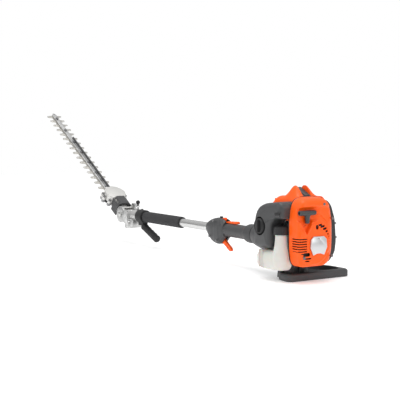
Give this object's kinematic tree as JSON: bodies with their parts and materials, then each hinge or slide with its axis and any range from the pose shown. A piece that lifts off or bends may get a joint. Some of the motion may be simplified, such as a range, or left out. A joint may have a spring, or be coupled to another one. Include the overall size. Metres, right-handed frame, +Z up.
{
  "type": "hedge trimmer",
  "caption": "Pole hedge trimmer: two-stroke engine and clutch drive a shaft to a tilting head with a double-sided reciprocating cutter bar.",
  "frame": {"origin": "on the stand's flat underside, below the point where the cylinder's bore crosses the crank axis", "axes": "+X towards the engine's rear along the shaft, +Y to the exhaust side, +Z up; the blade points to -X"},
  "size_m": [1.6226, 0.248, 0.4475],
  "materials": {
    "orange_plastic": "satin",
    "dark_plastic": "matte",
    "grey_plastic": "satin",
    "black_rubber": "matte",
    "foam": "matte",
    "clear_tank": "satin",
    "aluminium_tube": "satin",
    "cast_aluminium": "matte",
    "magnesium_case": "satin",
    "blade_steel": "satin",
    "steel": "satin",
    "black_steel": "satin",
    "badge": "satin",
    "filter": "matte",
    "rope": "matte"
  },
  "bodies": {
    "root": {"crankcase": "cast_aluminium", "shaft_bearings": "steel", "cylinder": "cast_aluminium", "spark_plug": "steel", "cap_screws": "steel", "face_screws": "steel", "lever_pins": "steel", "muffler": "steel", "muffler_guard": "black_steel", "starter_cover": "orange_plastic", "badge_plate": "badge", "engine_hood": "orange_plastic", "top_grille": "dark_plastic", "filter_cover": "grey_plastic", "filter_base": "dark_plastic", "filter_foam": "filter", "carburettor": "cast_aluminium", "fuel_tank": "clear_tank", "stand": "dark_plastic", "starter_rope": "rope", "shaft_tube": "aluminium_tube", "clutch_housing": "grey_plastic", "damper_ring": "black_rubber", "rear_grip": "black_rubber", "foam_grip": "foam", "handle_ring": "dark_plastic", "side_handle": "black_rubber", "handle_shell_right": "grey_plastic", "handle_shell_left": "grey_plastic", "head_base": "cast_aluminium", "pivot_pin": "steel"},
    "crank": {"crankshaft": "steel", "flywheel": "cast_aluminium", "clutch": "steel"},
    "piston": {"piston": "cast_aluminium", "connecting_rod": "steel"},
    "driveline": {"clutch_drum": "steel", "drive_shaft": "steel", "input_pinion": "steel"},
    "pulley": {"starter_pulley": "dark_plastic"},
    "pull_handle": {"starter_handle": "dark_plastic"},
    "trigger": {"throttle_trigger": "orange_plastic"},
    "lockout": {"throttle_lockout": "orange_plastic"},
    "stop_switch": {"stop_switch": "orange_plastic"},
    "idle_button": {"fast_idle_button": "dark_plastic"},
    "fuel_cap": {"fuel_cap": "black_rubber"},
    "filter_knob": {"filter_knob": "dark_plastic"},
    "choke": {"choke_lever": "dark_plastic"},
    "tilt_lock": {"tilt_lever": "steel", "lever_knob": "dark_plastic"},
    "head": {"head_case": "magnesium_case", "case_bottom": "magnesium_case", "head_shroud": "dark_plastic", "support_bar": "blade_steel", "head_bolts": "steel"},
    "idler": {"idler_gear": "steel"},
    "spindle": {"head_spindle": "steel"},
    "blade_crank": {"crank_gear": "steel"},
    "upper_blade": {"upper_blade": "blade_steel"},
    "lower_blade": {"lower_blade": "blade_steel"}
  },
  "joints": [
    {"name": "crank_spin", "type": "hinge", "parent": "root", "child": "crank", "pos_m": [0, 0, 0.098], "axis": [1, 0, 0], "continuous": true},
    {"name": "piston_slide", "type": "slide", "parent": "root", "child": "piston", "axis": [0, 0, 1], "range_m": [-0.028, 0]},
    {"name": "drive_spin", "type": "hinge", "parent": "root", "child": "driveline", "pos_m": [0, 0, 0.098], "axis": [1, 0, 0], "continuous": true},
    {"name": "starter_pull", "type": "slide", "parent": "root", "child": "pull_handle", "axis": [0, 0, 1], "range_m": [0, 0.8], "stiffness_N_per_m": 12, "springref_m": -0.4, "deforming": ["starter_rope"]},
    {"name": "pulley_spin", "type": "hinge", "parent": "root", "child": "pulley", "pos_m": [0.08, 0, 0.098], "axis": [1, 0, 0], "range_deg": [-1500, 1500]},
    {"name": "throttle", "type": "hinge", "parent": "root", "child": "trigger", "pos_m": [-0.322, 0, 0.071], "axis": [0, 1, 0], "range_deg": [-14, 0], "stiffness_Nm_per_rad": 0.6, "springref_deg": 20.05},
    {"name": "lockout_press", "type": "hinge", "parent": "root", "child": "lockout", "pos_m": [-0.298, 0, 0.1215], "axis": [0, 1, 0], "range_deg": [-3, 0], "stiffness_Nm_per_rad": 0.6, "springref_deg": 11.46},
    {"name": "stop_slide", "type": "slide", "parent": "root", "child": "stop_switch", "axis": [-1, 0, 0], "range_m": [0, 0.0015]},
    {"name": "idle_press", "type": "slide", "parent": "root", "child": "idle_button", "axis": [0, 0, -1], "range_m": [0, 0.002], "stiffness_N_per_m": 400, "springref_m": -0.002},
    {"name": "fuel_cap_turn", "type": "hinge", "parent": "root", "child": "fuel_cap", "pos_m": [0.0358, -0.066, 0.12], "axis": [0, 0, 1], "continuous": true},
    {"name": "filter_knob_turn", "type": "hinge", "parent": "root", "child": "filter_knob", "pos_m": [-0.029, -0.095, 0.137], "axis": [0, 1, 0], "continuous": true},
    {"name": "choke_turn", "type": "hinge", "parent": "root", "child": "choke", "pos_m": [0.044, -0.0924, 0.172], "axis": [0, 1, 0], "range_deg": [0, 60]},
    {"name": "lever_lift", "type": "hinge", "parent": "root", "child": "tilt_lock", "pos_m": [-0.874, 0.019, 0.1284], "axis": [0, 1, 0], "range_deg": [0, 12], "stiffness_Nm_per_rad": 1.2, "springref_deg": -17.19},
    {"name": "head_tilt", "type": "hinge", "parent": "root", "child": "head", "pos_m": [-0.905, 0, 0.098], "axis": [0, 1, 0], "range_deg": [-105, 15]},
    {"name": "idler_spin", "type": "hinge", "parent": "root", "child": "idler", "pos_m": [-0.905, 0, 0.098], "axis": [0, 1, 0], "continuous": true},
    {"name": "spindle_spin", "type": "hinge", "parent": "head", "child": "spindle", "pos_m": [-0.905, 0, 0.098], "axis": [-0.866, 0, 0.5], "continuous": true},
    {"name": "blade_crank_spin", "type": "hinge", "parent": "head", "child": "blade_crank", "pos_m": [-0.99853, 0, 0.152], "axis": [0.5, 0, 0.866], "continuous": true},
    {"name": "upper_blade_slide", "type": "slide", "parent": "head", "child": "upper_blade", "axis": [-0.866, 0, 0.5], "range_m": [-0.008, 0.008]},
    {"name": "lower_blade_slide", "type": "slide", "parent": "head", "child": "lower_blade", "axis": [-0.866, 0, 0.5], "range_m": [-0.008, 0.008]}
  ],
  "couplings": [
    {"joint": "pulley_spin", "follows": "starter_pull", "rad_per_m": 31.25},
    {"joint": "idler_spin", "follows": "drive_spin", "ratio": 0.6},
    {"joint": "spindle_spin", "follows": "drive_spin", "ratio": 1},
    {"joint": "blade_crank_spin", "follows": "drive_spin", "ratio": 0.25},
    {"joint": "lower_blade_slide", "follows": "upper_blade_slide", "ratio": -1}
  ]
}
